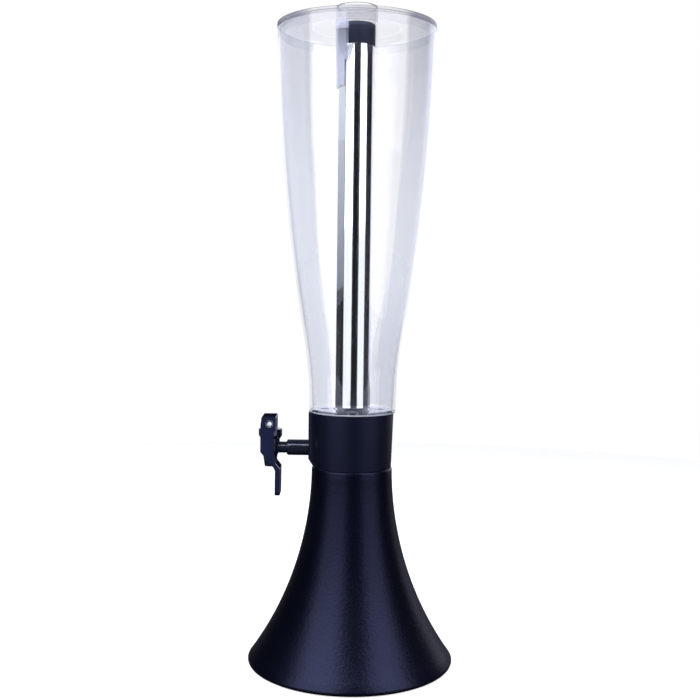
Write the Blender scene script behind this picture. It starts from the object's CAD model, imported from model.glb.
"""Beer tower dispenser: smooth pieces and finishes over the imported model, and a studio."""

from __future__ import annotations

import logging
import math
from collections.abc import Callable, Mapping, Sequence
from dataclasses import dataclass
from enum import Enum
from typing import Any

import bmesh
import bpy
from mathutils import Matrix, Vector


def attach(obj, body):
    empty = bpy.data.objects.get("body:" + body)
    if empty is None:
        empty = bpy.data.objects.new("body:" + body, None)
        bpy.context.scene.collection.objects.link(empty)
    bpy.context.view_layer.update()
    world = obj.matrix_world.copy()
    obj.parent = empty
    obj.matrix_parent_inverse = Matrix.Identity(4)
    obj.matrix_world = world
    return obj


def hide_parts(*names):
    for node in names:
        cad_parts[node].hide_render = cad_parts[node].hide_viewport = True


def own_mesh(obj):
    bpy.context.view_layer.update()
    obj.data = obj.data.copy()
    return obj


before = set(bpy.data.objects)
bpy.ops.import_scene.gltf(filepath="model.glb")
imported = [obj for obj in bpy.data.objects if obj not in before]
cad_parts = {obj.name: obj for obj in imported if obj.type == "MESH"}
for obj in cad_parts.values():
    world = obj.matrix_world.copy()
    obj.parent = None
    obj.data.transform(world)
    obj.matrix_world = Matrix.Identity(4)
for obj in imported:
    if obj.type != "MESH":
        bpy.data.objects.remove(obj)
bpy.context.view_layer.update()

LOG = logging.getLogger("beer_tower")
MM = 0.001
Point = tuple[float, float]
Colour = tuple[float, float, float]
Profile = tuple[tuple[float, ...], ...]


class Body(Enum):
    """The bodies that pieces ride on."""

    TOWER = "tower"
    STEM = "stem"
    LEVER = "lever"
    TANK = "tank"
    LID = "lid"
    ICE_TUBE = "ice_tube"
    STOPPER = "stopper"


class Slot(Enum):
    """The record's material slots."""

    BASE = "base_black"
    COLLAR = "collar_black"
    TAP = "tap_black"
    LEVER = "lever_black"
    STOPPER = "stopper_black"
    CLEAR = "clear_plastic"
    STEEL = "tube_steel"
    ZINC = "zinc_steel"
    SILICONE = "silicone"
    SEAL = "seal_rubber"
    FOOT = "foot_rubber"


class Side(Enum):
    """On which side of the way along a profile an arc has its centre."""

    LEFT = 1
    RIGHT = -1


# ------------------------------------------------------------------ nodes and shader maths


def set_stops(ramp: Any, stops: Sequence[Point]) -> None:
    """Give a colour ramp its stops.

    Args:
        ramp: the colour ramp.
        stops: the stops, as (place, grey level).
    """
    while len(ramp.elements) < len(stops):
        ramp.elements.new(1.0)
    for element, (place, level) in zip(ramp.elements, stops):
        element.position = place
        element.color = (level, level, level, 1.0)


def add_node(tree: Any, kind: str, values: Mapping[Any, Any],
             settings: Mapping[str, Any] | None) -> Any:
    """Add a node to a shader or geometry tree.

    Args:
        tree: the node tree.
        kind: the node's type.
        values: plain values or output sockets for its inputs, by name or number.
        settings: its properties, and the stops of a ramp under the name stops. They are set
            first.

    Returns:
        The node.
    """
    made = tree.nodes.new(kind)
    for name, value in (settings or {}).items():
        if name == "stops":
            set_stops(made.color_ramp, value)
        else:
            setattr(made, name, value)
    for name, value in values.items():
        if isinstance(value, bpy.types.NodeSocket):
            tree.links.new(value, made.inputs[name])
        else:
            made.inputs[name].default_value = value
    return made


class Wire:
    """A shader output that Python's operators can be used on."""

    def __init__(self, graph: Graph, socket: Any) -> None:
        """Args:
            graph: the graph that new Math nodes go into.
            socket: a node's output socket.
        """
        self.graph = graph
        self.socket = socket

    def maths(self, operation: str, other: Any) -> Wire:
        """Join this and another value by one of Blender's operations."""
        return self.graph.node("ShaderNodeMath", {0: self, 1: other}, {"operation": operation})

    def __add__(self, other: Any) -> Wire:
        """Sum."""
        return self.maths("ADD", other)

    __radd__ = __add__

    def __mul__(self, other: Any) -> Wire:
        """Product."""
        return self.maths("MULTIPLY", other)

    __rmul__ = __mul__

    def __sub__(self, other: Any) -> Wire:
        """Difference."""
        return self.maths("SUBTRACT", other)

    def __rsub__(self, other: Any) -> Wire:
        """A number less this."""
        return self * -1.0 + other

    def __truediv__(self, other: float) -> Wire:
        """Quotient by a number."""
        return self * (1.0 / other)

    def step(self, ends: Point, curve: str = "SMOOTHSTEP") -> Wire:
        """Go from 0 at the first end to 1 at the second, softly or on a LINEAR curve."""
        values = {"Value": self, "From Min": ends[0], "From Max": ends[1]}
        return self.graph.node("ShaderNodeMapRange", values, {"interpolation_type": curve})


class Graph:
    """A material's or the world's nodes."""

    def __init__(self, owner: Any) -> None:
        """Args:
            owner: the material or world whose nodes are made anew.
        """
        owner.use_nodes = True
        self.tree = owner.node_tree
        self.tree.nodes.clear()

    def node(self, kind: str, values: Mapping[Any, Any] | None = None,
             settings: Mapping[str, Any] | None = None, output: Any = 0) -> Wire:
        """Add a node.

        Args:
            kind: the node's type.
            values: numbers, colours or wires for its inputs, by name or number.
            settings: its properties, and the stops of a ramp under the name stops.
            output: name or number of the output that is wanted.

        Returns:
            That output.
        """
        plain = {name: value.socket if isinstance(value, Wire) else value
                 for name, value in (values or {}).items()}
        made = add_node(self.tree, kind, plain, settings)
        return Wire(self, made.outputs[output] if made.outputs else None)

    def place(self) -> Wire:
        """Where on the object a point lies, in metres."""
        return self.node("ShaderNodeTexCoord", output="Object")

    def stretched_place(self, scale: Colour) -> Wire:
        """The place on the object, with each axis multiplied by its own scale."""
        return self.node("ShaderNodeMapping", {"Vector": self.place(), "Scale": scale})

    def parts(self, vector: Wire) -> list[Wire]:
        """The X, Y and Z of a vector."""
        split = self.node("ShaderNodeSeparateXYZ", {"Vector": vector})
        return [Wire(self, part) for part in split.socket.node.outputs]

    def noise(self, place: Wire, scale: float, detail: float = 2.0) -> Wire:
        """Noise between 0 and 1 about 0.5, with a number of spots per metre."""
        return self.node("ShaderNodeTexNoise",
                         {"Vector": place, "Scale": scale, "Detail": detail})

    def blend(self, share: Any, first: Any, second: Any) -> Wire:
        """Mix two colours by a share of the second."""
        values = {"Factor": share, 6: self._opaque(first), 7: self._opaque(second)}
        return self.node("ShaderNodeMix", values, {"data_type": "RGBA"}, output=2)

    @staticmethod
    def _opaque(colour: Any) -> Any:
        """Give a plain colour its fourth number."""
        return colour if isinstance(colour, Wire) else (*colour, 1.0)

    def facing(self) -> Wire:
        """0 where the surface faces the eye, 1 where it is seen edge on."""
        return self.node("ShaderNodeLayerWeight", {"Blend": 0.5}, output="Facing")

    def bump(self, height: Wire, distance: float) -> Wire:
        """A normal that follows a height, whose full range is a distance in metres."""
        return self.node("ShaderNodeBump", {"Height": height, "Distance": distance})

    def shade(self, values: Mapping[str, Any]) -> None:
        """Make the Principled shader with its values, and the material's output."""
        shader = self.node("ShaderNodeBsdfPrincipled", values)
        self.node("ShaderNodeOutputMaterial", {"Surface": shader})


# ------------------------------------------------------------------ finishes


def dim(colour: Colour, share: float) -> Colour:
    """A colour with each part multiplied by a share."""
    return tuple(part * share for part in colour)


class Finish:
    """A finish that builds its material once."""

    name: str
    _made: dict[str, bpy.types.Material] = {}

    def material(self) -> bpy.types.Material:
        """The finish's material, built on first use."""
        if self.name not in Finish._made:
            made = bpy.data.materials.new(self.name)
            self.build(Graph(made))
            Finish._made[self.name] = made
        return Finish._made[self.name]

    def build(self, graph: Graph) -> None:
        """Add the finish's nodes to a graph."""
        raise NotImplementedError


@dataclass(frozen=True)
class MouldedPlastic(Finish):
    """Dark moulded plastic with a fine spark-eroded grain and slow cloudy changes."""

    name: str
    colour: Colour
    roughness: float = 0.30
    specular: float = 0.30
    sheen: Colour = (0.50, 0.53, 1.0)
    grain_scale: float = 1100.0
    grain_height: float = 0.0001
    grain_dulling: float = 0.12
    pore_scale: float = 0.34
    pore_share: float = 1.4
    cloud_scale: float = 26.0
    cloud_dulling: float = 0.06
    cloud_shades: Point = (0.8, 1.25)

    def build(self, graph: Graph) -> None:
        """Add the nodes."""
        place = graph.place()
        grain = graph.noise(place, self.grain_scale, 3.0)
        pores = graph.noise(place, self.grain_scale * self.pore_scale)
        clouds = graph.noise(place, self.cloud_scale, 3.0)
        dark, light = (dim(self.colour, shade) for shade in self.cloud_shades)
        dulling = (clouds - 0.5) * self.cloud_dulling + (grain - 0.5) * self.grain_dulling
        graph.shade({
            "Base Color": graph.blend(clouds, dark, light),
            "Roughness": dulling + self.roughness,
            "Specular IOR Level": self.specular,
            "Specular Tint": (*self.sheen, 1.0),
            "Normal": graph.bump(grain + pores * self.pore_share, self.grain_height),
        })


@dataclass(frozen=True)
class ClearSkin(Finish):
    """Clear plastic seen as a sheet: faint where it faces the eye, greyer towards its sides.

    Its cover goes from centre to side across the band, and on to edge across the outline. Both
    are ranges of the facing value.
    """

    name: str
    tint: Colour = (0.76, 0.81, 1.0)
    edge_tint: Colour = (0.50, 0.54, 0.70)
    centre: float = 0.006
    side: float = 0.30
    band: Point = (0.185, 0.225)
    edge: float = 0.32
    outline: Point = (0.62, 0.80)
    flow_scale: Colour = (9.0, 9.0, 2.5)
    flow_share: float = 0.03
    roughness: float = 0.08

    def build(self, graph: Graph) -> None:
        """Add the nodes."""
        facing = graph.facing()
        spot = graph.parts(graph.place())
        flow = graph.noise(graph.stretched_place(self.flow_scale), 1.0)
        leaning = facing + (flow - 0.5) * self.flow_share
        edge = facing.step(self.outline)
        graph.shade({
            "Base Color": graph.blend(edge, self.inner_tint(graph, spot), self.edge_tint),
            "Roughness": self.roughness,
            "Alpha": self.cover(facing, leaning, spot) + edge * (self.edge - self.side),
        })

    def inner_tint(self, graph: Graph, spot: Sequence[Wire]) -> Any:
        """The tint away from the outline."""
        return self.tint

    def cover(self, facing: Wire, leaning: Wire, spot: Sequence[Wire]) -> Wire:
        """Say how much the skin hides away from the outline.

        Args:
            facing: 0 where the skin faces the eye, 1 where it is seen edge on.
            leaning: the same with a slow unevenness.
            spot: the place on the object, as X, Y and Z.

        Returns:
            The cover.
        """
        return leaning.step(self.band) * (self.side - self.centre) + self.centre


@dataclass(frozen=True)
class TankSkin(ClearSkin):
    """The tank's skin, whose haze and band change with place.

    Right, behind, low, upper and top are ranges of place in metres, and haze_rise and off_centre
    are ranges of the facing value.
    """

    top_tint: Colour = (0.34, 0.36, 0.42)
    tint_rise: Point = (0.34, 0.55)
    right: Point = (-0.006, 0.014)
    behind: Point = (-0.004, 0.004)
    low: Point = (0.37, 0.27)
    upper: Point = (0.40, 0.50)
    top: Point = (0.40, 0.54)
    haze: float = 0.02
    haze_rise: Point = (0.05, 0.17)
    right_haze: float = 0.20
    upper_haze: float = 0.06
    off_centre: Point = (0.04, 0.085)
    right_shift: float = 0.035
    behind_gain: float = 2.4
    low_shift: float = 0.055
    low_side: float = 0.14
    top_side: float = 0.05
    top_right_side: float = 0.04

    def inner_tint(self, graph: Graph, spot: Sequence[Wire]) -> Any:
        """The tint away from the outline, darker towards the top."""
        return graph.blend(spot[2].step(self.tint_rise, "LINEAR"), self.tint, self.top_tint)

    def cover(self, facing: Wire, leaning: Wire, spot: Sequence[Wire]) -> Wire:
        """Say how much the skin hides away from the outline.

        Args:
            facing: 0 where the skin faces the eye, 1 where it is seen edge on.
            leaning: the same with a slow unevenness.
            spot: the place on the object, as X, Y and Z.

        Returns:
            The cover.
        """
        right, behind = spot[0].step(self.right), spot[1].step(self.behind)
        low, upper, top = (spot[2].step(ends) for ends in (self.low, self.upper, self.top))
        far_right = right * behind
        wider = far_right * low * self.behind_gain * self.right_shift + low * self.low_shift
        wider = wider * facing.step(self.off_centre)
        narrower = right * (upper * (behind * self.behind_gain + 1.0) + 1.0) * self.right_shift
        misty = far_right * (upper * self.upper_haze + self.right_haze) + self.haze
        clear = (facing + wider).step(self.haze_rise) * misty + self.centre
        side = top * (right * self.top_right_side + self.top_side) + self.side
        side = side + far_right * low * self.low_side
        return (leaning + wider - narrower).step(self.band) * (side - clear) + clear


@dataclass(frozen=True)
class FrostedSkin(ClearSkin):
    """A clear skin with an upright pale streak that is narrower at its foot."""

    frost: float = 0.46
    streak: Point = (-0.0178, -0.0072)
    softness: float = 0.0003
    foot: Point = (0.5305, 0.5285)
    foot_narrower: float = 0.0034

    def cover(self, facing: Wire, leaning: Wire, spot: Sequence[Wire]) -> Wire:
        """Say how much the skin hides away from the outline.

        Args:
            facing: 0 where the skin faces the eye, 1 where it is seen edge on.
            leaning: the same with a slow unevenness.
            spot: the place on the object, as X, Y and Z.

        Returns:
            The cover.
        """
        start, end = self.streak
        inner = spot[0] + spot[2].step(self.foot) * self.foot_narrower
        near = inner.step((end + self.softness, end - self.softness))
        far = spot[0].step((start - self.softness, start + self.softness))
        return super().cover(facing, leaning, spot) + near * far * (self.frost - self.centre)


@dataclass(frozen=True)
class ClearGloss(Finish):
    """The polished outside of clear plastic: nothing but its reflection."""

    name: str
    ior: float = 1.49
    roughness: float = 0.03
    most: float = 0.20
    power: float = 5.0
    ripple_scale: Colour = (14.0, 14.0, 5.0)
    ripple_height: float = 0.00002

    def build(self, graph: Graph) -> None:
        """Add the nodes."""
        head_on = ((self.ior - 1.0) / (self.ior + 1.0)) ** 2
        mirror = graph.facing().maths("POWER", self.power) * (1.0 - head_on) + head_on
        ripple = graph.noise(graph.stretched_place(self.ripple_scale), 1.0, 1.0)
        graph.shade({
            "Base Color": (0.97, 0.975, 1.0, 1.0),
            "Metallic": 1.0,
            "Roughness": self.roughness,
            "Alpha": mirror.maths("MINIMUM", self.most),
            "Normal": graph.bump(ripple, self.ripple_height),
        })


@dataclass(frozen=True)
class DrawnSteel(Finish):
    """Steel polished along its length, with faint lines from the drawing."""

    name: str
    colour: Colour = (0.72, 0.73, 0.74)
    roughness: float = 0.08
    line_scale: Colour = (1400.0, 1400.0, 7.0)
    line_dulling: float = 0.05
    line_height: float = 0.000004
    patch_scale: float = 14.0
    patch_dulling: float = 0.04
    patch_shade: float = 0.93

    def build(self, graph: Graph) -> None:
        """Add the nodes."""
        lines = graph.noise(graph.stretched_place(self.line_scale), 1.0, 3.0)
        patches = graph.noise(graph.place(), self.patch_scale)
        dulling = (lines - 0.5) * self.line_dulling + (patches - 0.5) * self.patch_dulling
        graph.shade({
            "Base Color": graph.blend(patches, dim(self.colour, self.patch_shade), self.colour),
            "Metallic": 1.0,
            "Roughness": dulling + self.roughness,
            "Normal": graph.bump(lines, self.line_height),
        })


@dataclass(frozen=True)
class ZincSteel(Finish):
    """Zinc-plated steel with the plating's mottle."""

    name: str
    colour: Colour = (0.55, 0.55, 0.56)
    roughness: float = 0.22
    mottle_scale: float = 900.0
    mottle_dulling: float = 0.2
    mottle_shade: float = 0.8
    mottle_height: float = 0.00001

    def build(self, graph: Graph) -> None:
        """Add the nodes."""
        mottle = graph.noise(graph.place(), self.mottle_scale, 4.0)
        graph.shade({
            "Base Color": graph.blend(mottle, dim(self.colour, self.mottle_shade), self.colour),
            "Metallic": 1.0,
            "Roughness": mottle * self.mottle_dulling + self.roughness,
            "Normal": graph.bump(mottle, self.mottle_height),
        })


@dataclass(frozen=True)
class SoftRubber(Finish):
    """Rubber or silicone with a dull, slightly uneven skin and some dust."""

    name: str
    colour: Colour
    roughness: float = 0.7
    alpha: float = 1.0
    skin_scale: float = 1200.0
    skin_dulling: float = 0.15
    skin_height: float = 0.00003
    dust_scale: float = 60.0
    dust_shade: float = 1.3
    dust_grey: float = 0.01

    def build(self, graph: Graph) -> None:
        """Add the nodes."""
        place = graph.place()
        skin = graph.noise(place, self.skin_scale, 3.0)
        dust = graph.noise(place, self.dust_scale, 3.0)
        pale = tuple(min(1.0, part * self.dust_shade + self.dust_grey) for part in self.colour)
        graph.shade({
            "Base Color": graph.blend(dust, self.colour, pale),
            "Roughness": (skin - 0.5) * self.skin_dulling + self.roughness,
            "Alpha": self.alpha,
            "Normal": graph.bump(skin, self.skin_height),
        })


BASE_PLASTIC = MouldedPlastic("base_moulded_black", (0.0011, 0.0017, 0.0048))
COLLAR_PLASTIC = MouldedPlastic("collar_moulded_black", (0.003, 0.004, 0.009), 0.40, 0.32,
                                grain_scale=1300.0, grain_height=0.00006)
TAP_PLASTIC = MouldedPlastic("tap_moulded_black", (0.005, 0.007, 0.016), 0.20, 1.0,
                             (0.84, 0.87, 1.0), grain_scale=2600.0, grain_height=0.00001)
LEVER_PLASTIC = MouldedPlastic("lever_moulded_black", (0.007, 0.010, 0.030), 0.26, 0.7,
                               grain_scale=2600.0, grain_height=0.00002)
LEVER_TOP = MouldedPlastic("lever_matt_top", (0.004, 0.005, 0.010), 0.8, 0.0,
                           grain_scale=2600.0, grain_height=0.00002)
STOPPER_PLASTIC = MouldedPlastic("stopper_moulded_black", (0.006, 0.007, 0.012), 0.5, 0.3,
                                 grain_scale=1800.0)
FLAT_BAND: Point = (0.3, 0.7)
RIM_BAND: Point = (0.17, 0.36)
LATE_BAND: Point = (0.4, 0.8)
LATE_OUTLINE: Point = (0.85, 0.97)
TANK_SKIN = TankSkin("tank_clear_skin", (0.82, 0.87, 1.0), (0.44, 0.48, 0.62))
TANK_GLOSS = ClearGloss("tank_clear_gloss")
TANK_FLAT = ClearSkin("tank_clear_flat", side=0.05, edge=0.06, centre=0.02, band=FLAT_BAND)
TANK_FLOOR = ClearGloss("tank_clear_floor", roughness=0.05, most=0.72, power=2.6)
TANK_FOOT = ClearSkin("tank_clear_foot", (0.92, 0.94, 1.0), (0.92, 0.94, 1.0), side=0.80,
                      edge=0.9, centre=0.70)
LID_SKIN = ClearSkin("lid_clear_skin", (0.36, 0.38, 0.52), (0.36, 0.38, 0.52), side=0.17,
                     edge=0.17, centre=0.07, band=FLAT_BAND)
LID_RIM = ClearSkin("lid_clear_rim", (0.13, 0.13, 0.18), (0.10, 0.10, 0.14), side=0.80,
                    edge=0.90, centre=0.20, band=RIM_BAND)
LID_FAR_RIM = ClearSkin("lid_clear_far_rim", (0.24, 0.25, 0.32), (0.20, 0.21, 0.28),
                        side=0.20, edge=0.30, centre=0.06, band=RIM_BAND)
LID_RING = FrostedSkin("lid_clear_ring", (0.52, 0.54, 0.64), side=0.04, edge=0.08,
                       centre=0.01, band=LATE_BAND, outline=LATE_OUTLINE)
CHIMNEY_SKIN = ClearSkin("chimney_clear_skin", (0.36, 0.38, 0.46), side=0.16, edge=0.22,
                         centre=0.08, band=LATE_BAND, outline=LATE_OUTLINE)
FUNNEL_SKIN = FrostedSkin("funnel_clear_skin", (0.52, 0.54, 0.64), side=0.03, edge=0.10,
                          centre=0.01, band=LATE_BAND, outline=LATE_OUTLINE)
TUBE_STEEL = DrawnSteel("ice_tube_steel")
FASTENER_STEEL = DrawnSteel("fastener_steel", (0.72, 0.73, 0.75), 0.22, (1500.0,) * 3)
SCREW_ZINC = ZincSteel("screw_zinc")
CLEAR_SILICONE = SoftRubber("clear_silicone", (0.78, 0.79, 0.8), 0.45, 0.75)
SEAL_RUBBER = SoftRubber("seal_rubber", (0.012, 0.012, 0.013), 0.6)
FOOT_RUBBER = SoftRubber("foot_rubber", (0.02, 0.02, 0.021), 0.8)


# ------------------------------------------------------------------ profiles and meshes


def bow(start: Point, end: Point, radius: float, side: Side, steps: int = 24) -> list[Point]:
    """Points of an arc between two points.

    Args:
        start: first point.
        end: last point.
        radius: the arc's radius.
        side: side of the way on which its centre lies.
        steps: number of spans.

    Returns:
        The points, both ends included.
    """
    first, last = Vector(start), Vector(end)
    chord = last - first
    across = Vector((-chord.y, chord.x)).normalized() * side.value
    centre = (first + last) / 2 + across * math.sqrt(radius ** 2 - (chord.length / 2) ** 2)
    from_angle = math.atan2(*(first - centre).yx)
    turn = math.atan2(*(last - centre).yx) - from_angle
    turn = (turn + math.pi) % (2 * math.pi) - math.pi
    angles = [from_angle + turn * step / steps for step in range(steps + 1)]
    return [(centre.x + radius * math.cos(a), centre.y + radius * math.sin(a)) for a in angles]


def rounded(corners: Sequence[tuple[float, ...]], steps: int = 6) -> list[Point]:
    """Replace corners by fillets.

    Args:
        corners: (radius from the axis, height) or (radius from the axis, height, fillet).
        steps: spans in a fillet.

    Returns:
        The profile's points.
    """
    points: list[Point] = []
    for index, corner in enumerate(corners):
        here = Vector(corner[:2])
        if len(corner) < 3:
            points.append((here.x, here.y))
            continue
        before = (Vector(corners[index - 1][:2]) - here).normalized()
        after = (Vector(corners[(index + 1) % len(corners)][:2]) - here).normalized()
        half = before.angle(after) / 2
        reach = corner[2] / math.tan(half)
        start, end = here + before * reach, here + after * reach
        turns_left = before.x * after.y - before.y * after.x < 0
        side = Side.LEFT if turns_left else Side.RIGHT
        points += bow(tuple(start), tuple(end), corner[2], side, steps)
    return points


class GeometryTree:
    """A geometry node tree with named inputs that ends in real geometry with a finish."""

    def __init__(self, name: str, inputs: Mapping[str, str]) -> None:
        """Args:
            name: the tree's name.
            inputs: the kind of each input but the finish, by name.
        """
        self.tree = bpy.data.node_groups.new(name, "GeometryNodeTree")
        face = self.tree.interface
        for label, kind in (*inputs.items(), ("Finish", "Material")):
            face.new_socket(name=label, in_out="INPUT", socket_type=f"NodeSocket{kind}")
        face.new_socket(name="Geometry", in_out="OUTPUT", socket_type="NodeSocketGeometry")
        self.given = self.tree.nodes.new("NodeGroupInput").outputs

    def node(self, kind: str, values: Mapping[Any, Any],
             settings: Mapping[str, Any] | None = None) -> Any:
        """Add a node as add_node does, and return its first output."""
        return add_node(self.tree, kind, values, settings).outputs[0]

    def ring(self, copied: Any) -> Any:
        """Set copies round the Z axis at the inputs Ring Radius and Count, turned outwards.

        Args:
            copied: the geometry that is copied.

        Returns:
            The copies, as instances.
        """
        given = self.given
        spots = self.node("GeometryNodeMeshCircle",
                          {"Vertices": given["Count"], "Radius": given["Ring Radius"]})
        step = self.node("ShaderNodeMath", {0: 2.0 * math.pi, 1: given["Count"]},
                         {"operation": "DIVIDE"})
        turn = self.node("ShaderNodeMath", {0: self.node("GeometryNodeInputIndex", {}), 1: step},
                         {"operation": "MULTIPLY"})
        return self.node("GeometryNodeInstanceOnPoints", {
            "Points": spots, "Instance": copied,
            "Rotation": self.node("ShaderNodeCombineXYZ", {"Z": turn})})

    def end(self, geometry: Any) -> None:
        """Make the result real, give it the input Finish and put it out.

        Args:
            geometry: the output socket of the result.
        """
        real = self.node("GeometryNodeRealizeInstances", {"Geometry": geometry})
        dressed = self.node("GeometryNodeSetMaterial",
                            {"Geometry": real, "Material": self.given["Finish"]})
        self.tree.links.new(dressed, self.tree.nodes.new("NodeGroupOutput").inputs["Geometry"])

    def run(self, piece: Any, finish: Finish, inputs: Mapping[str, Any],
            place: Sequence[float] = (0.0, 0.0, 0.0)) -> Any:
        """Run the tree on a piece and keep the result as its plain mesh.

        Args:
            piece: the object whose mesh is the tree's geometry.
            finish: its finish.
            inputs: values of the other inputs, by name.
            place: where in millimetres the result goes.

        Returns:
            The piece.
        """
        modifier = piece.modifiers.new("nodes", "NODES")
        modifier.node_group = self.tree
        names = {item.name: item.identifier for item in self.tree.interface.items_tree
                 if item.in_out == "INPUT"}
        for name, value in (*inputs.items(), ("Finish", finish.material())):
            modifier[names[name]] = value
        keep_result(piece)
        piece.data.transform(Matrix.Translation(Vector(place) * MM))
        face_outwards(piece.data)
        smooth(piece.data)
        return piece


class LatheTree(GeometryTree):
    """Turns a profile round the Z axis into a solid of revolution."""

    RAIL = 0.01
    MERGE = 1e-6

    def __init__(self) -> None:
        """Build the node tree."""
        super().__init__("lathe", {"Profile": "Geometry", "Steps": "Int", "Rail Radius": "Float",
                                   "Merge Distance": "Float"})
        given = self.given
        profile = self.node("GeometryNodeMeshToCurve", {"Mesh": given["Profile"]})
        rail = self.node("GeometryNodeCurvePrimitiveCircle",
                         {"Resolution": given["Steps"], "Radius": given["Rail Radius"]})
        swept = self.node("GeometryNodeCurveToMesh", {"Curve": rail, "Profile Curve": profile})
        self.end(self.node("GeometryNodeMergeByDistance",
                           {"Geometry": swept, "Distance": given["Merge Distance"]}))

    def turn(self, name: str, profile: Sequence[Point], finish: Finish, steps: int,
             place: Sequence[float] = (0.0, 0.0, 0.0)) -> Any:
        """Turn a profile about the Z axis.

        Args:
            name: the piece's name.
            profile: its points in millimetres, open if both ends lie on the axis.
            finish: its finish.
            steps: number of facets round the axis.
            place: where in millimetres the solid goes.

        Returns:
            The finished object.
        """
        mesh = bpy.data.meshes.new(name)
        spots = [(radius * MM - self.RAIL, -height * MM, 0.0) for radius, height in profile]
        count = len(spots)
        is_open = profile[0][0] == 0.0 and profile[-1][0] == 0.0
        edges = [(i, (i + 1) % count) for i in range(count - 1 if is_open else count)]
        mesh.from_pydata(spots, edges, [])
        return self.run(link(name, mesh), finish, {
            "Steps": steps, "Rail Radius": self.RAIL, "Merge Distance": self.MERGE}, place)


class RingTree(GeometryTree):
    """Copies of one part in even steps round an axis."""

    def __init__(self) -> None:
        """Build the node tree."""
        super().__init__("ring_of_copies", {"Part": "Geometry", "Count": "Int",
                                            "Ring Radius": "Float", "First Turn": "Float"})
        lean = self.node("ShaderNodeCombineXYZ", {"Z": self.given["First Turn"]})
        self.end(self.node("GeometryNodeTransform",
                           {"Geometry": self.ring(self.given["Part"]), "Rotation": lean}))


class FluteTree(GeometryTree):
    """Cuts the same upright groove into a round blank in even steps."""

    def __init__(self) -> None:
        """Build the node tree."""
        super().__init__("flutes", {"Blank": "Geometry", "Count": "Int", "Ring Radius": "Float",
                                    "Groove Radius": "Float", "Groove Length": "Float"})
        given = self.given
        cutter = self.node("GeometryNodeMeshCylinder", {
            "Vertices": 20, "Radius": given["Groove Radius"], "Depth": given["Groove Length"]})
        cutters = self.node("GeometryNodeRealizeInstances", {"Geometry": self.ring(cutter)})
        self.end(self.node("GeometryNodeMeshBoolean",
                           {"Mesh 1": given["Blank"], "Mesh 2": cutters},
                           {"operation": "DIFFERENCE"}))


class CoilTree(GeometryTree):
    """Winds a round wire into a coil."""

    def __init__(self) -> None:
        """Build the node tree."""
        super().__init__("coil", {"Turns": "Float", "Coil Radius": "Float", "Height": "Float",
                                  "Wire Radius": "Float", "Steps": "Int", "Wire Steps": "Int"})
        given = self.given
        way = self.node("GeometryNodeCurveSpiral", {
            "Resolution": given["Steps"], "Rotations": given["Turns"],
            "Start Radius": given["Coil Radius"], "End Radius": given["Coil Radius"],
            "Height": given["Height"]})
        wire = self.node("GeometryNodeCurvePrimitiveCircle",
                         {"Resolution": given["Wire Steps"], "Radius": given["Wire Radius"]})
        self.end(self.node("GeometryNodeCurveToMesh",
                           {"Curve": way, "Profile Curve": wire, "Fill Caps": True}))


def link(name: str, mesh: bpy.types.Mesh) -> Any:
    """Put a mesh into the scene as an object.

    Args:
        name: the object's name.
        mesh: its mesh.

    Returns:
        The object.
    """
    piece = bpy.data.objects.new(name, mesh)
    bpy.context.scene.collection.objects.link(piece)
    return piece


def keep_result(piece: Any) -> None:
    """Turn a piece with modifiers into the plain mesh that they give.

    Args:
        piece: the object.
    """
    piece.update_tag()
    bpy.context.view_layer.update()
    seen = piece.evaluated_get(bpy.context.evaluated_depsgraph_get())
    mesh = bpy.data.meshes.new_from_object(seen)
    old = piece.data
    piece.modifiers.clear()
    piece.data = mesh
    mesh.name = piece.name
    if old.users == 0:
        bpy.data.meshes.remove(old)


def face_outwards(mesh: bpy.types.Mesh) -> None:
    """Turn every face of a closed mesh outwards.

    Args:
        mesh: the mesh.
    """
    work = bmesh.new()
    work.from_mesh(mesh)
    bmesh.ops.recalc_face_normals(work, faces=work.faces)
    work.to_mesh(mesh)
    work.free()


def smooth(mesh: bpy.types.Mesh, angle: float = 32.0) -> None:
    """Shade a mesh smooth, with its sharper edges left crisp.

    Args:
        mesh: the mesh.
        angle: the angle in degrees from which an edge is sharp.
    """
    mesh.polygons.foreach_set("use_smooth", [True] * len(mesh.polygons))
    mesh.set_sharp_from_angle(angle=math.radians(angle))
    mesh.update()


def second_finish(mesh: bpy.types.Mesh, finish: Finish,
                  takes: Callable[[float, Vector, Vector], bool]) -> None:
    """Give some faces a second finish.

    Args:
        mesh: the mesh, whose first material stays on the other faces.
        finish: the second finish.
        takes: says from a face's distance from the Z axis and its centre, in millimetres, and
            its normal if it takes it.
    """
    mesh.materials.append(finish.material())
    index = len(mesh.materials) - 1
    for face in mesh.polygons:
        centre = face.center / MM
        if takes(math.hypot(centre.x, centre.y), centre, face.normal):
            face.material_index = index


def cut_away(piece: Any, add_cutter: Callable[[bmesh.types.BMesh], None]) -> None:
    """Cut a shape out of a piece.

    Args:
        piece: the object that is cut.
        add_cutter: adds the closed cutter to an empty bmesh.
    """
    work = bmesh.new()
    add_cutter(work)
    mesh = bpy.data.meshes.new("cutter")
    work.to_mesh(mesh)
    work.free()
    cutter = link("cutter", mesh)
    cut = piece.modifiers.new("cut", "BOOLEAN")
    cut.object = cutter
    cut.operation = "DIFFERENCE"
    keep_result(piece)
    bpy.data.objects.remove(cutter)
    smooth(piece.data)


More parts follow.
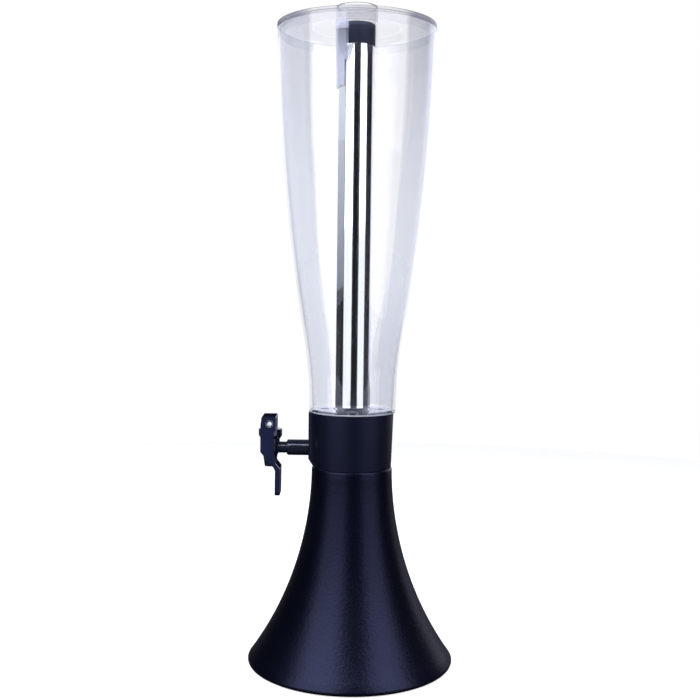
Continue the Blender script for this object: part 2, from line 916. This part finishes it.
def cad_copy(node: str, name: str, finish: Finish, bevel: float = 0.0) -> Any:
    """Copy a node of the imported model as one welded, smooth piece.

    Args:
        node: the node's name.
        name: the piece's name.
        finish: its finish.
        bevel: width in millimetres of the rounding on its sharp edges.

    Returns:
        The finished object.
    """
    weld, flat, sharp = 2e-6, math.radians(0.6), math.radians(30)
    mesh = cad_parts[node].data.copy()
    work = bmesh.new()
    work.from_mesh(mesh)
    bmesh.ops.remove_doubles(work, verts=work.verts, dist=weld)
    bmesh.ops.dissolve_limit(work, angle_limit=flat, verts=work.verts, edges=work.edges,
                             use_dissolve_boundaries=False)
    work.to_mesh(mesh)
    work.free()
    mesh.materials.clear()
    mesh.materials.append(finish.material())
    piece = link(name, mesh)
    if bevel:
        rounding = piece.modifiers.new("rounding", "BEVEL")
        rounding.width = bevel * MM
        rounding.segments = 3
        rounding.limit_method = "ANGLE"
        rounding.angle_limit = sharp
        rounding.miter_outer = "MITER_ARC"
        keep_result(piece)
    smooth(piece.data)
    if bevel:
        flatten = piece.modifiers.new("flatten", "WEIGHTED_NORMAL")
        flatten.keep_sharp = True
        keep_result(piece)
    return piece


def true_round(mesh: bpy.types.Mesh) -> None:
    """Shade the steep walls about the Z axis as true cylinders and cones.

    Args:
        mesh: the mesh.
    """
    most_rise, least_outward = 0.15, 0.97
    normals = [Vector(corner.vector) for corner in mesh.corner_normals]
    for face in mesh.polygons:
        out = Vector((face.center.x, face.center.y, 0.0)).normalized()
        rise = face.normal.z
        if abs(rise) > most_rise or face.normal.dot(out) < least_outward:
            continue
        for corner in face.loop_indices:
            spot = mesh.vertices[mesh.loops[corner].vertex_index].co
            away = Vector((spot.x, spot.y, 0.0)).normalized() * math.sqrt(1.0 - rise * rise)
            normals[corner] = away + Vector((0.0, 0.0, rise))
    mesh.normals_split_custom_set(normals)


def seat(piece: Any, body: Body, slot: Slot, *nodes: str) -> None:
    """Make a piece ride on its body and stand for its nodes.

    Args:
        piece: the finished object.
        body: the body that carries it.
        slot: the record's slot of its finish.
        nodes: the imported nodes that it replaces.
    """
    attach(piece, body.value)
    if nodes:
        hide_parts(*nodes)
    LOG.info("%s rides on %s with %d faces", piece.name, body.value, len(piece.data.polygons))


# ------------------------------------------------------------------ sub-assemblies
# Sizes are in millimetres. A profile's corners are (radius, height) or (radius, height, fillet).


@dataclass
class Base:
    """Trumpet base with its cover, screws and feet."""

    lathe: LatheTree
    height: float = 175.7
    rim: float = 1.0
    foot_radius: float = 93.4
    neck_radius: float = 35.6
    flare: float = 295.9
    wall: float = 3.0
    bore: float = 31.2
    ledge: float = 149.7
    hollow_foot: Point = (87.3, 4.3)
    screw_circle: float = 72.0
    screw: Profile = ((0.0, 1.8), (2.9, 1.8), (3.22, 1.95), (1.45, 3.6), (1.45, 12.8),
                      (0.6, 13.8), (0.0, 13.8))
    foot_circle: float = 76.2
    foot: Profile = ((0.0, 0.3), (2.6, 0.3), (2.9, 0.0), (4.6, 0.0), (4.9, 0.3), (5.3, 0.3),
                     (5.6, 0.0), (7.6, 0.0), (8.0, 0.4), (8.0, 1.8), (0.0, 1.8))
    steps: int = 192

    def outer(self) -> list[Point]:
        """Draw the trumpet's outline, from its foot to its neck.

        Returns:
            The outline's points.
        """
        arc = bow((self.foot_radius, self.rim), (self.neck_radius, self.height), self.flare,
                  Side.RIGHT, 64)
        foot = rounded([(self.foot_radius - 12.0, self.rim), (*arc[0], 2.4), arc[4]])
        neck = rounded([arc[-3], (*arc[-1], 2.0), (self.neck_radius - 4.0, self.height)])
        return foot[1:-1] + arc[4:-3] + neck[1:-1]

    def build(self) -> None:
        """Build and seat the base's pieces."""
        inner = bow((self.neck_radius - self.wall, self.height - self.wall), self.hollow_foot,
                    self.flare + self.wall, Side.LEFT, 48)
        inner = [spot for spot in inner if spot[1] <= self.ledge]
        profile = self.outer() + [(self.bore, self.height), (self.bore, self.ledge),
                                  (inner[0][0], self.ledge)]
        profile += inner + [(self.hollow_foot[0], self.rim)]
        shell = self.lathe.turn("base_shell_moulding", profile, BASE_PLASTIC, self.steps)
        seat(shell, Body.TOWER, Slot.BASE, "base_shell")
        cover = cad_copy("base_cover", "base_cover_plate", BASE_PLASTIC, 0.25)
        seat(cover, Body.TOWER, Slot.BASE, "base_cover")
        ring = RingTree()
        screw = self.lathe.turn("base_cover_screws", self.screw, SCREW_ZINC, 28)
        for width, depth in ((3.6, 0.7), (0.7, 3.6)):
            cut_away(screw, lambda work, size=(width, depth): self._slot(work, *size))
        ring.run(screw, SCREW_ZINC, {"Count": 4, "Ring Radius": self.screw_circle * MM,
                                     "First Turn": 0.0})
        seat(screw, Body.TOWER, Slot.ZINC, "cover_screws")
        foot = self.lathe.turn("base_rubber_feet", self.foot, FOOT_RUBBER, 40)
        ring.run(foot, FOOT_RUBBER, {"Count": 4, "Ring Radius": self.foot_circle * MM,
                                     "First Turn": math.pi / 4})
        seat(foot, Body.TOWER, Slot.FOOT, "rubber_feet")

    @staticmethod
    def _slot(work: bmesh.types.BMesh, width: float, depth: float) -> None:
        """Add one bar of a screw's cross recess to a bmesh.

        Args:
            work: the bmesh.
            width: the bar's length in millimetres along X.
            depth: its length along Y.
        """
        height, middle = 3.0, 1.6
        size = Matrix.Diagonal((width * MM, depth * MM, height * MM, 1.0))
        place = Matrix.Translation((0.0, 0.0, middle * MM))
        bmesh.ops.create_cube(work, size=1.0, matrix=place @ size)


@dataclass
class Collar:
    """Collar between base and tank, and what seals and clamps in it."""

    lathe: LatheTree

    def build(self) -> None:
        """Build and seat the collar's pieces."""
        collar = cad_copy("tap_collar", "tap_collar_moulding", COLLAR_PLASTIC, 0.35)
        true_round(collar.data)
        seat(collar, Body.TOWER, Slot.COLLAR, "tap_collar")
        gasket = self.lathe.turn("tank_gasket_ring", rounded(
            [(29.9, 204.0, 0.4), (33.4, 204.0, 0.4), (33.4, 206.0, 0.4), (29.9, 206.0, 0.4)]),
            CLEAR_SILICONE, 96)
        seat(gasket, Body.TOWER, Slot.SILICONE, "tank_gasket")
        for node, finish, slot in (("shank_washer", FASTENER_STEEL, Slot.STEEL),
                                   ("shank_nut", FASTENER_STEEL, Slot.STEEL),
                                   ("shank_seal", SEAL_RUBBER, Slot.SEAL)):
            seat(cad_copy(node, f"{node}_piece", finish, 0.2), Body.TOWER, slot, node)


@dataclass
class Tap:
    """Push-lever tap."""

    lathe: LatheTree
    axis: float = -72.6
    pivot_height: float = 213.9
    pin_bore: float = 2.0
    lever_shoulder: float = 6.0
    bonnet: Profile = ((8.4, 200.0), (9.0, 200.0, 0.2), (10.4, 202.8, 0.5), (10.4, 208.4, 0.5),
                       (2.6, 208.4, 0.3), (2.6, 206.3), (8.4, 206.3))
    bonnet_middle: float = 204.2
    flutes: int = 12
    flute_circle: float = 10.9
    flute_radius: float = 1.0
    flute_length: float = 12.0
    spring_foot: float = 196.0
    spring_height: float = 9.5
    spring_radius: float = 4.2
    spring_wire: float = 0.35
    spring_turns: float = 4.0
    spring_keep: float = 0.81

    def build(self) -> None:
        """Build and seat the tap's pieces."""
        blank = self.lathe.turn("bonnet_cap", rounded(self.bonnet), TAP_PLASTIC, 72,
                                (0.0, 0.0, -self.bonnet_middle))
        FluteTree().run(blank, TAP_PLASTIC, {
            "Count": self.flutes, "Ring Radius": self.flute_circle * MM,
            "Groove Radius": self.flute_radius * MM, "Groove Length": self.flute_length * MM},
            (self.axis, 0.0, self.bonnet_middle))
        seat(blank, Body.TOWER, Slot.TAP, "bonnet")
        coil = link("valve_spring_coil", bpy.data.meshes.new("valve_spring_coil"))
        CoilTree().run(coil, FASTENER_STEEL, {
            "Turns": self.spring_turns, "Coil Radius": self.spring_radius * MM,
            "Height": self.spring_height * MM, "Wire Radius": self.spring_wire * MM,
            "Steps": 24, "Wire Steps": 10},
            (self.axis, 0.0, self.spring_foot + self.spring_wire))
        seat(coil, Body.STEM, Slot.STEEL, "valve_spring")
        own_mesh(coil)
        for node, finish, body, slot, bevel in (
            ("tap_shank", TAP_PLASTIC, Body.TOWER, Slot.TAP, 0.25),
            ("tap_body", TAP_PLASTIC, Body.TOWER, Slot.TAP, 0.25),
            ("inlet_ring", SEAL_RUBBER, Body.TOWER, Slot.SEAL, 0.0),
            ("valve_stem", TAP_PLASTIC, Body.STEM, Slot.TAP, 0.2),
            ("seat_cup", CLEAR_SILICONE, Body.STEM, Slot.SILICONE, 0.1),
        ):
            seat(cad_copy(node, f"{node}_piece", finish, bevel), body, slot, node)
        pin = cad_copy("pivot_pin", "pivot_pin_piece", TAP_PLASTIC, 0.2)
        second_finish(pin.data, FASTENER_STEEL, lambda radius, centre, normal: math.hypot(
            centre.x - self.axis, centre.z - self.pivot_height) < self.pin_bore)
        seat(pin, Body.LEVER, Slot.TAP, "pivot_pin")
        lever = cad_copy("push_lever", "push_lever_piece", LEVER_PLASTIC, 0.5)
        second_finish(lever.data, LEVER_TOP, lambda radius, centre, normal:
                      normal.z > 0.8 and centre.z > self.pivot_height + self.lever_shoulder)
        seat(lever, Body.LEVER, Slot.LEVER, "push_lever")


@dataclass
class Tank:
    """Tall clear tank with its threaded skirt."""

    lathe: LatheTree
    foot: Point = (38.0, 224.0)
    waist: Point = (44.68, 294.0)
    rim: Point = (69.3, 558.2)
    foot_curve: float = 478.1
    rim_curve: float = 1738.9
    wall: float = 2.5
    skirt: Point = (30.6, 33.3)
    skirt_foot: float = 206.0
    cup: Point = (15.8, 17.6)
    cup_height: float = 3.0
    well_top: float = 227.9
    rim_strip: float = 2.6
    drain_circle: float = 24.3
    drain_radius: float = 5.0
    steps: int = 192

    def build(self) -> None:
        """Build and seat the tank."""
        tank = self.lathe.turn("tank_shell", self._profile(), TANK_SKIN, self.steps)
        cut_away(tank, self._drill)
        (rim_radius, top), foot, (bore, radius_of_cup) = self.rim, self.foot[1], self.cup
        for finish, takes in (
            (TANK_GLOSS, self._is_outside),
            (TANK_FLAT, lambda radius, centre, normal:
                normal.z > 0.7 and centre.z > top - 1.0),
            (TANK_FLOOR, lambda radius, centre, normal:
                normal.z > 0.3 and centre.z < foot + 8.0),
            (TANK_FLAT, lambda radius, centre, normal:
                centre.z < foot + 8.0 and abs(normal.z) < 0.9
                and bore - 0.2 < radius < radius_of_cup + 0.2),
            (TANK_FOOT, lambda radius, centre, normal:
                normal.z < 0.5 and centre.z < foot + 2.2 and radius > 36.6),
            (LID_RIM, lambda radius, centre, normal:
                centre.z > top - 2.5 and centre.y < 0.0 and radius > rim_radius - 1.1),
        ):
            second_finish(tank.data, finish, takes)
        seat(tank, Body.TANK, Slot.CLEAR, "tank")

    def _profile(self) -> list[Point]:
        """Draw the section of skirt, outer wall, rim, inner wall, well and seat ring.

        Returns:
            The closed section's points.
        """
        foot, top = self.foot[1], self.rim[1]
        lower = bow(self.foot, self.waist, self.foot_curve, Side.RIGHT, 16)
        outer = lower[:-1] + bow(self.waist, self.rim, self.rim_curve, Side.LEFT, 40)
        inner = self._inset(outer)
        low = [spot for spot in inner if self.well_top < spot[1] < top - 0.2]
        share = (top - self.rim_strip - outer[-2][1]) / (top - outer[-2][1])
        outer[-1:] = [tuple(Vector(outer[-2]).lerp(Vector(self.rim), share)), self.rim]
        rim = rounded([outer[-2], (*self.rim, 0.7), (self.rim[0] - self.wall, top, 0.7),
                       low[-1]])[1:-1]
        heel = rounded([(30.0, foot), (*self.foot, 1.5), outer[2]])[1:-1]
        floor = foot + self.wall
        (bore, radius), (skirt_bore, skirt_radius) = self.cup, self.skirt
        well = rounded([low[0], (inner[0][0] + 0.1, floor, 1.2), (radius, floor)])[1:-1]
        return [(0.0, foot), (skirt_bore, foot), (skirt_bore, self.skirt_foot),
                (skirt_radius, self.skirt_foot), (skirt_radius, foot), *heel, *outer[2:-1],
                *rim, *reversed(low), *well, (radius, floor), (radius, floor + self.cup_height),
                (bore, floor + self.cup_height), (bore, floor), (0.0, floor)]

    def _inset(self, outline: Sequence[Point]) -> list[Point]:
        """Move an outline in by the wall.

        Args:
            outline: the outline's points.

        Returns:
            The moved points.
        """
        moved = []
        for index, spot in enumerate(outline):
            before = outline[max(index - 1, 0)]
            after = outline[min(index + 1, len(outline) - 1)]
            along = (Vector(after) - Vector(before)).normalized()
            moved.append((spot[0] - along.y * self.wall, spot[1] + along.x * self.wall))
        return moved

    def _is_outside(self, radius: float, centre: Vector, normal: Vector) -> bool:
        """Whether a face is on the tank's outer wall."""
        out = Vector((centre.x, centre.y, 0)).normalized()
        return normal.dot(out) > 0.5 and centre.z > self.foot[1]

    def _drill(self, work: bmesh.types.BMesh) -> None:
        """Add the cutters of the floor's drain holes to a bmesh.

        Args:
            work: the bmesh.
        """
        radius, depth, middle = self.drain_radius * MM, 12.0 * MM, self.foot[1] + 1.0
        for index in range(4):
            turn = Matrix.Rotation(math.pi / 2 * index, 4, "Z")
            spot = turn @ Matrix.Translation(Vector((self.drain_circle, 0.0, middle)) * MM)
            bmesh.ops.create_cone(work, cap_ends=True, segments=48, radius1=radius,
                                  radius2=radius, depth=depth, matrix=spot)


@dataclass
class Lid:
    """Clear lid with its chimney, and the guide funnel under it."""

    lathe: LatheTree
    section: Profile = (
        (16.5, 558.2, 0.4), (37.6, 558.2), (37.6, 551.2, 0.3), (39.2, 551.2, 0.3),
        (39.2, 558.2), (64.6, 558.2), (64.6, 550.2, 0.3), (66.4, 550.2, 0.3), (66.4, 558.2),
        (69.3, 558.2, 0.3), (69.3, 560.7, 1.0), (18.2, 560.7, 4.0), (18.2, 576.5, 0.7),
        (16.5, 576.5, 0.4))
    foot: float = 558.2
    rim_start: float = 69.0
    chimney_rim: float = 576.0
    sleeve: Point = (16.5, 17.7)
    sleeve_ends: Point = (507.5, 521.5)
    flange: Point = (34.6, 39.2)
    flange_ends: Point = (549.6, 551.2)
    flares: Point = (31.81, 33.42)
    steps: int = 192

    def build(self) -> None:
        """Build and seat the lid and the funnel."""
        lid = self.lathe.turn("lid_disc", rounded(self.section), LID_SKIN, self.steps)
        second_finish(lid.data, CHIMNEY_SKIN, lambda radius, centre, normal:
                      centre.z > self.foot + 0.1 and radius < 20.5)
        second_finish(lid.data, LID_RING, lambda radius, centre, normal:
                      centre.z < self.foot - 0.1 and radius < 40.0)
        for rim, front in ((LID_RIM, True), (LID_FAR_RIM, False)):
            second_finish(lid.data, rim, lambda radius, centre, normal, front=front:
                          (radius > self.rim_start or centre.z > self.chimney_rim)
                          and (centre.y < 0.0) == front)
        seat(lid, Body.LID, Slot.CLEAR, "lid")
        (bore, radius), (foot, mouth) = self.sleeve, self.sleeve_ends
        (neck, width), (under, over) = self.flange, self.flange_ends
        outer = bow((radius, mouth), (neck, under), self.flares[0], Side.RIGHT, 20)
        inner = bow((neck, over), (bore, mouth), self.flares[1], Side.LEFT, 20)
        funnel = self.lathe.turn("guide_funnel_sleeve", [
            (bore, foot), (radius, foot), *outer, (width, under), (width, over), *inner],
            FUNNEL_SKIN, self.steps)
        seat(funnel, Body.LID, Slot.CLEAR, "guide_funnel")


@dataclass
class IceTube:
    """Steel ice tube and its stopper."""

    lathe: LatheTree
    tube: Profile = ((0.0, 226.5), (15.5, 226.5, 3.0), (15.5, 543.0, 0.3), (14.6, 543.0, 0.3),
                     (14.6, 227.4, 2.1), (0.0, 227.4))
    stopper: Profile = (
        (0.0, 557.9), (10.7, 557.9, 1.0), (10.7, 529.0, 0.5), (14.3, 529.0, 0.8),
        (14.3, 534.0, 0.2), (12.4, 534.0), (12.4, 536.4), (14.3, 536.4, 0.2), (14.3, 543.0),
        (16.2, 543.0, 0.5), (16.2, 561.5, 1.2), (0.0, 561.5))
    steps: int = 160

    def build(self) -> None:
        """Build and seat the tube, the stopper and its ring."""
        tube = self.lathe.turn("ice_tube_steel_wall", rounded(self.tube, 8), TUBE_STEEL,
                               self.steps)
        seat(tube, Body.ICE_TUBE, Slot.STEEL, "ice_tube")
        stopper = self.lathe.turn("ice_stopper_cap", rounded(self.stopper, 8), STOPPER_PLASTIC,
                                  self.steps)
        seat(stopper, Body.STOPPER, Slot.STOPPER, "ice_stopper")
        ring = cad_copy("stopper_ring", "stopper_ring_rubber", SEAL_RUBBER)
        seat(ring, Body.STOPPER, Slot.SEAL, "stopper_ring")


# ------------------------------------------------------------------ studio


@dataclass(frozen=True)
class SoftBox:
    """A lamp round the tower, at an azimuth in degrees from the camera's side."""

    name: str
    azimuth: float
    distance: float
    width: float
    height: float
    middle: float
    radiance: float
    aim: float | None = None
    colour: Colour = (0.86, 0.89, 1.0)
    seen: bool = True

    def build(self) -> None:
        """Hang the lamp and aim it at the tower's axis."""
        light = bpy.data.lights.new(self.name, "AREA")
        light.shape = "RECTANGLE"
        light.size, light.size_y = self.width, self.height
        light.color = self.colour
        light.energy = self.radiance * math.pi * self.width * self.height
        lamp = bpy.data.objects.new(self.name, light)
        lamp.visible_camera = self.seen
        turn = math.radians(self.azimuth)
        lamp.location = (self.distance * math.sin(turn), -self.distance * math.cos(turn),
                         self.middle)
        level = self.middle if self.aim is None else self.aim
        aim = Vector((0.0, 0.0, level)) - lamp.location
        lamp.rotation_euler = aim.to_track_quat("-Z", "Y").to_euler()
        bpy.context.scene.collection.objects.link(lamp)


@dataclass
class Studio:
    """Camera, floor, world and lamps. The room's grey levels go by azimuth in degrees."""

    lens: float = 53.43
    see_through: int = 48
    camera_place: tuple[float, float, float] = (-0.00285, -0.916869, 0.335923)
    pitch: float = -3.5576
    roll: float = 0.6708
    floor_radius: float = 1.3
    floor_colour: Colour = (0.86, 0.86, 0.87)
    floor_tooth: Point = (900.0, 0.00002)
    paper: float = 0.72
    floor_bounce: float = 0.06
    ceiling: float = 0.06
    rear_ceiling: float = 0.2
    rear_start: Point = (-0.1, 0.4)
    wall_end: Point = (0.30, 0.55)
    panel_azimuth: float = -111.0
    panel_distance: float = 0.25
    panel_half_width: float = 0.205
    panel_ends: Point = (0.327, 0.60)
    panel_brightest: float = 0.55
    panel_glows: tuple[Colour, Colour] = ((0.20, 0.22, 0.28), (0.80, 0.84, 0.96))
    room_colour: Colour = (0.83, 0.81, 1.0)
    room: tuple[Point, ...] = ((-180.0, 0.40), (-168.0, 0.40), (-158.0, 0.014), (-70.0, 0.014),
                               (-10.0, 0.010), (20.0, 0.010), (80.0, 0.03), (100.0, 0.010),
                               (119.0, 0.010), (127.0, 0.40), (180.0, 0.40))
    boxes: tuple[SoftBox, ...] = (
        SoftBox("left_low_softbox", -42.0, 1.0, 1.02, 0.49, 0.195, 1.62),
        SoftBox("right_low_softbox", 50.0, 1.0, 0.80, 0.49, 0.195, 1.62),
        SoftBox("left_middle_softbox", -42.0, 1.0, 1.02, 0.42, 0.65, 4.0),
        SoftBox("right_middle_softbox", 50.0, 1.0, 0.80, 0.42, 0.65, 3.6),
        SoftBox("left_high_softbox", -42.0, 1.0, 1.02, 0.90, 1.31, 5.8),
        SoftBox("right_high_softbox", 48.0, 1.0, 0.72, 0.90, 1.31, 5.8),
        SoftBox("top_strip", -5.4, 0.75, 0.14, 0.10, 0.95, 16.0, 0.19),
        SoftBox("rear_right_softbox", 152.0, 1.0, 1.06, 0.70, 0.48, 0.95, seen=False),
        SoftBox("rear_left_softbox", -169.0, 1.0, 0.40, 0.70, 0.48, 0.95, seen=False),
    )

    def build(self) -> None:
        """Set the stage."""
        scene = bpy.context.scene
        scene.view_settings.view_transform = "Standard"
        scene.cycles.transparent_max_bounces = self.see_through
        self._camera()
        self._floor()
        self._side_panel()
        self._world()
        for box in self.boxes:
            box.build()

    def _camera(self) -> None:
        """Place the camera."""
        data = bpy.data.cameras.new("camera")
        data.lens = self.lens
        data.sensor_width = 36.0
        data.clip_start, data.clip_end = 0.01, 50.0
        camera = bpy.data.objects.new("camera", data)
        lean = Matrix.Rotation(math.radians(90.0 + self.pitch), 4, "X")
        roll = Matrix.Rotation(math.radians(self.roll), 4, "Z")
        camera.matrix_world = Matrix.Translation(self.camera_place) @ lean @ roll
        bpy.context.scene.collection.objects.link(camera)
        bpy.context.scene.camera = camera

    def _floor(self) -> None:
        """Lay a round floor, white to the eye, that keeps the tower's shadow."""
        work = bmesh.new()
        bmesh.ops.create_circle(work, cap_ends=True, segments=96, radius=self.floor_radius)
        mesh = bpy.data.meshes.new("floor")
        work.to_mesh(mesh)
        work.free()
        floor = link("floor", mesh)
        material = bpy.data.materials.new("floor_paper")
        graph = Graph(material)
        path = graph.node("ShaderNodeLightPath", output="Is Camera Ray")
        scale, height = self.floor_tooth
        graph.shade({
            "Base Color": graph.blend(path, (self.floor_bounce,) * 3, self.floor_colour),
            "Roughness": 0.9,
            "Emission Color": graph.blend(path, (0.0, 0.0, 0.0), (self.paper,) * 3),
            "Emission Strength": 1.0,
            "Normal": graph.bump(graph.noise(graph.place(), scale), height),
        })
        mesh.materials.append(material)

    def _side_panel(self) -> None:
        """Stand a glowing board out of sight at the tower's left, brighter towards its top."""
        (low, high), half = self.panel_ends, self.panel_half_width
        turn = Matrix.Rotation(math.radians(self.panel_azimuth), 4, "Z")
        corners = [turn @ Vector((side * half, -self.panel_distance, level))
                   for side, level in ((-1, low), (1, low), (1, high), (-1, high))]
        mesh = bpy.data.meshes.new("side_panel")
        mesh.from_pydata(corners, [], [(0, 1, 2, 3)])
        panel = link("side_panel", mesh)
        panel.visible_camera = False
        material = bpy.data.materials.new("side_panel_glow")
        graph = Graph(material)
        level = graph.parts(graph.place())[2]
        share = level.step((low, self.panel_brightest), "LINEAR")
        graph.shade({
            "Base Color": (0.02, 0.02, 0.02, 1.0),
            "Roughness": 1.0,
            "Emission Color": graph.blend(share, *self.panel_glows),
            "Emission Strength": 1.0,
        })
        mesh.materials.append(material)

    def _world(self) -> None:
        """White to the eye; to everything else a room that is dark in front and white behind."""
        world = bpy.data.worlds.new("studio")
        bpy.context.scene.world = world
        graph = Graph(world)
        eye = graph.node("ShaderNodeLightPath", output="Is Camera Ray")
        across, deep, high = graph.parts(graph.node("ShaderNodeTexCoord", output="Generated"))
        turn = across.maths("ARCTAN2", deep * -1.0) / (2.0 * math.pi) + 0.5
        stops = [(azimuth / 360.0 + 0.5, level) for azimuth, level in self.room]
        wall = graph.node("ShaderNodeValToRGB", {"Fac": turn}, {"stops": stops})
        above = deep.step(self.rear_start) * (self.rear_ceiling - self.ceiling) + self.ceiling
        level = graph.blend(high.step(self.wall_end), wall, above)
        room = graph.blend(level, (0.0, 0.0, 0.0), self.room_colour)
        seen = graph.blend(eye, room, (1.0, 1.0, 1.0))
        shader = graph.node("ShaderNodeBackground", {"Color": seen, "Strength": 1.0})
        graph.node("ShaderNodeOutputWorld", {"Surface": shader})


def main() -> None:
    """Build the tower and its studio."""
    logging.basicConfig(level=logging.INFO, format="%(name)s: %(message)s")
    lathe = LatheTree()
    for group in (Base(lathe), Collar(lathe), Tap(lathe), Tank(lathe), Lid(lathe),
                  IceTube(lathe)):
        group.build()
    Studio().build()


if __name__ == "__main__":
    main()
